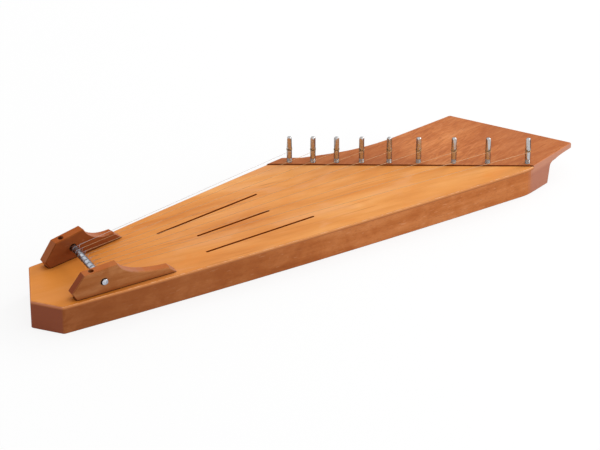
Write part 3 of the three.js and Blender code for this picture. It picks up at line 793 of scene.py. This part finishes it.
def pin_mesh():
    rings = []
    for height in pin_heights():
        ring = []
        for k in range(PIN_SIDES):
            angle = 2 * math.pi * k / PIN_SIDES
            radius = pin_radius(height, angle)
            ring.append(Vector((radius * math.cos(angle), radius * math.sin(angle), height)))
        rings.append(ring)
    vertices, faces = stacked(rings)
    made = piece("pin_blank", vertices, faces, pin_steel)
    ends = [Vector((-2 * PIN_RADIUS, 0, HOLE_HEIGHT)), Vector((2 * PIN_RADIUS, 0, HOLE_HEIGHT))]
    vertices, faces = tube(ends, HOLE_RADIUS, HOLE_SIDES)
    cut(made, piece("pin_hole", vertices, faces, pin_steel))
    mesh = made.data
    mesh.set_sharp_from_angle(angle=math.radians(38))
    bpy.data.objects.remove(made)
    return mesh


def pin_place(number):
    """Where the pin's line meets the height that its own heights count from."""
    low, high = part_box(f"tuning_pin_{number}")
    return Vector(((low.x + high.x) / 2, (low.y + high.y) / 2, high.z - PIN_RISE))


def add_pin(number, mesh):
    made = placed(f"pin_{number}_threaded", mesh.copy())
    turn = Matrix.Rotation(math.radians(PIN_TURNS[number - 1]), 4, "Z")
    made.data.transform(turn)
    made.location = pin_place(number)
    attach(made, f"pin_{number}")
    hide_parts(f"tuning_pin_{number}")


# Strings

def rod_station(number):
    """Where a string leaves the rod, spread evenly between the brackets."""
    share = (number - 1) / (len(PIN_TURNS) - 1)
    return rod_near + INWARD * (FIRST_STRING_RUN + (LAST_STRING_RUN - FIRST_STRING_RUN) * share)


def heading(number):
    """Level direction from a pin to where its string leaves the rod."""
    away = rod_station(number) - pin_place(number)
    return Vector((away.x, away.y, 0)).normalized()


def touch_point(number):
    """Where the string first touches its pin, at the side that it comes past."""
    line = heading(number)
    side = Vector((-line.y, line.x, 0))
    return pin_place(number) + side * WINDING_RADIUS + UP * WINDING_HEIGHT


def twisted_tail(top, line):
    """The wire's own end, wound round the string from afar back toward the rod."""
    under = (line * UP.dot(line) - UP).normalized()
    beside = line.cross(under)
    steps = TWIST_TURNS * TWIST_TURN_POINTS
    points = []
    for i in range(steps + 1):
        share = i / steps
        angle = 2 * math.pi * TWIST_TURNS * (1 - share)
        out = under * math.cos(angle) + beside * math.sin(angle)
        reach = TWIST_FAR + (TWIST_NEAR - TWIST_FAR) * share
        points.append(top + line * reach + out * TWIST_RADIUS)
    return points


def eye(station):
    """Turns round the rod, from under it where the tail comes in to its top at the station."""
    start = 2 * math.atan2(EYE_RADIUS, TWIST_NEAR) - math.pi / 2
    sweep = start + 1.5 * math.pi + 2 * math.pi * EYE_EXTRA_TURNS
    steps = round(sweep / (2 * math.pi) * TURN_POINTS)
    points = []
    for i in range(steps + 1):
        share = i / steps
        angle = start - sweep * share
        shift = -EYE_PITCH * sweep / (2 * math.pi) * (1 - share)
        out = SIDEWAYS * math.cos(angle) + UP * math.sin(angle)
        points.append(station + out * EYE_RADIUS + INWARD * shift)
    return points


def string_points(number):
    """A tail twisted round the string, an eye round the rod, then the straight run to the pin."""
    station = rod_station(number)
    top = station + UP * EYE_RADIUS
    end = touch_point(number)
    points = twisted_tail(top, (end - top).normalized()) + eye(station)
    start = points[-1]
    return points + [start + (end - start) * share for share in RUN_SHARES]


def cubic(controls, share):
    """Point on a cubic curve with four control points."""
    rest = 1 - share
    weights = (rest ** 3, 3 * share * rest ** 2, 3 * share ** 2 * rest, share ** 3)
    point = Vector((0, 0, 0))
    for control, weight in zip(controls, weights):
        point += control * weight
    return point


def winding_points(number):
    """Turns round the pin, starting where the string meets it, then in through the hole."""
    line = heading(number)
    start = math.atan2(line.x, -line.y)
    hole_turn = (math.radians(PIN_TURNS[number - 1]) - start) % math.pi
    sweep = 2 * math.pi * WINDING_TURNS + hole_turn
    centre = pin_place(number)
    wound = sweep - END_LEAVES
    rise = HOLE_HEIGHT - WINDING_HEIGHT - WINDING_PITCH * sweep / (2 * math.pi)
    steps = round(wound / (2 * math.pi) * TURN_POINTS)
    points = []
    for i in range(steps + 1):
        turned = wound * i / steps
        climb = smoothstep((turned - sweep + WINDING_CLIMB) / WINDING_CLIMB)
        height = WINDING_HEIGHT + WINDING_PITCH * turned / (2 * math.pi) + rise * climb
        out = SIDEWAYS * math.cos(start + turned) + INWARD * math.sin(start + turned)
        points.append(centre + out * WINDING_RADIUS + UP * height)
    outward = SIDEWAYS * math.cos(start + sweep) + INWARD * math.sin(start + sweep)
    hole = centre + UP * HOLE_HEIGHT
    last = points[-1]
    ahead = (last - points[-2]).normalized()
    controls = (last, last + ahead * END_LEAD, hole + outward * END_BOW, hole + outward * END_MOUTH)
    points += [cubic(controls, i / END_POINTS) for i in range(1, END_POINTS + 1)]
    return points + [hole, hole - outward * TAIL_OUT]


def add_string(number):
    wire = string_steel if number == 1 else string_bronze
    vertices, faces = tube(string_points(number), WIRE_RADIUS, WIRE_SIDES)
    made = piece(f"string_{number}_with_eye", vertices, faces, wire, crease=60)
    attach(made, "instrument")
    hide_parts(f"string_{number}")
    vertices, faces = tube(winding_points(number), WIRE_RADIUS, WIRE_SIDES)
    made = piece(f"string_{number}_on_pin", vertices, faces, winding_bronze, crease=60)
    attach(made, f"pin_{number}")
    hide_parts(f"string_winding_{number}")


# Rod and screws

def add_rod():
    rings = []
    for end, sign in ((rod_near, 1), (rod_far, -1)):
        edge = []
        for k in range(ROD_EASE_RINGS + 1):
            angle = math.pi / 2 * k / ROD_EASE_RINGS
            centre = end + INWARD * sign * ROD_EASE * (1 - math.sin(angle))
            radius = ROD_RADIUS - ROD_EASE * (1 - math.cos(angle))
            edge.append(circle(centre, radius, ROD_SIDES, SIDEWAYS, UP))
        rings += edge[::-1] if sign == 1 else edge
    vertices, faces = stacked(rings)
    made = piece("rod_turned", vertices, faces, rod_steel, crease=50)
    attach(made, "instrument")
    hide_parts("string_rod")


def cut_cross_recess(screw):
    """Two crossed slots in the head's top, narrower at their floor."""
    for turn in (RECESS_TURN, RECESS_TURN + math.pi / 2):
        spin = Matrix.Rotation(turn, 3, "Z")
        section = []
        for height, share in ((-RECESS_DEPTH, RECESS_FLOOR_SHARE), (CUT_OVERLAP, 1)):
            reach, width = RECESS_REACH * share, RECESS_WIDTH / 2
            corners = ((-reach, -width), (reach, -width), (reach, width), (-reach, width))
            section.append([spin @ Vector((x, y, height)) for x, y in corners])
        vertices, faces = stacked(section)
        cut(screw, piece("recess", vertices, faces, screw_steel))
    screw.data.set_sharp_from_angle(angle=math.radians(35))


def add_screw(node, name):
    low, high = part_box(node)
    profile = [
        (SCREW_POINT_RADIUS, -SCREW_LENGTH),
        (SCREW_SHANK_RADIUS, SCREW_TIP - SCREW_LENGTH),
        (SCREW_SHANK_RADIUS, -SCREW_HEAD_HEIGHT),
        (SCREW_HEAD_RADIUS - SCREW_HEAD_EDGE, -SCREW_HEAD_HEIGHT),
        (SCREW_HEAD_RADIUS, SCREW_HEAD_EDGE - SCREW_HEAD_HEIGHT),
    ]
    profile += [(SCREW_HEAD_RADIUS * share, -depth) for share, depth in SCREW_DOME]
    profile.append((SCREW_POINT_RADIUS, 0))
    rings = []
    for radius, height in profile:
        rings.append(circle(UP * height, radius, SCREW_SIDES, SIDEWAYS, INWARD))
    vertices, faces = stacked(rings)
    made = piece(name, vertices, faces, screw_steel)
    cut_cross_recess(made)
    made.location = Vector(((low.x + high.x) / 2, (low.y + high.y) / 2, high.z))
    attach(made, "instrument")
    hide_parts(node)


shared_pin = pin_mesh()
for number in range(1, len(PIN_TURNS) + 1):
    add_pin(number, shared_pin)
    add_string(number)
add_rod()
add_screw("near_bracket_screw", "near_screw_cross_head")
add_screw("far_bracket_screw", "far_screw_cross_head")


# Floor, light and camera

def shown(s):
    """One for rays that show the surface itself, in the picture or mirrored in metal."""
    path = s.put("ShaderNodeLightPath").outputs
    return s.most(path["Is Camera Ray"], path["Is Glossy Ray"], path["Is Transmission Ray"])


def add_floor():
    material = bpy.data.materials.new("floor_pale")
    s = Nodes(material)
    seen = shown(s)
    shaded = s.put("ShaderNodeBsdfDiffuse", {"Color": s.mix(seen, FLOOR_GREY, WHITE)}).outputs[0]
    glow = s.put("ShaderNodeEmission", {"Color": WHITE, "Strength": 1.0}).outputs[0]
    shares = {0: s.times(seen, FLOOR_GLOW), 1: shaded, 2: glow}
    surface = s.put("ShaderNodeMixShader", shares).outputs[0]
    s.put("ShaderNodeOutputMaterial", {"Surface": surface})
    corners = []
    for x, y in ((-1, -1), (1, -1), (1, 1), (-1, 1)):
        corners.append((x * FLOOR_REACH, y * FLOOR_REACH, FLOOR_HEIGHT))
    mesh = bpy.data.meshes.new("floor")
    mesh.from_pydata(corners, [], [(0, 1, 2, 3)])
    mesh.materials.append(material)
    floor = placed("floor", mesh)


def add_world():
    """Soft light from all round, which the camera and the metals see as plain white."""
    world = bpy.data.worlds.new("studio")
    bpy.context.scene.world = world
    s = Nodes(world)
    light = s.put("ShaderNodeBackground", {"Color": WHITE, "Strength": STUDIO_LIGHT}).outputs[0]
    plain = s.put("ShaderNodeBackground", {"Color": WHITE, "Strength": 1}).outputs[0]
    both = s.put("ShaderNodeMixShader", {0: shown(s), 1: light, 2: plain}).outputs[0]
    s.put("ShaderNodeOutputWorld", {"Surface": both})


def add_lamp(name, place, aim, side, power):
    data = bpy.data.lights.new(name, "AREA")
    data.shape = "SQUARE"
    data.size = side
    data.energy = power
    lamp = placed(name, data)
    lamp.location = place
    lamp.rotation_euler = (Vector(aim) - Vector(place)).to_track_quat("-Z", "Y").to_euler()


def add_camera():
    data = bpy.data.cameras.new("camera")
    data.sensor_fit = "HORIZONTAL"
    data.sensor_width = SENSOR_WIDTH
    data.lens = LENS
    data.clip_start = NEAREST_SEEN
    data.clip_end = FARTHEST_SEEN
    camera = placed("camera", data)
    camera.location = CAMERA_PLACE
    camera.rotation_euler = CAMERA_AIM.to_track_quat("-Z", "Y").to_euler()
    bpy.context.scene.camera = camera


add_floor()
add_world()
add_lamp("key", place=(2.2, 0.5, 1.5), aim=(0, 0, 0), side=1.2, power=23)
add_lamp("fill", place=(1.3, -0.9, 0.5), aim=(0.1, 0, 0), side=0.8, power=8)
add_camera()
bpy.context.scene.view_settings.view_transform = "Standard"
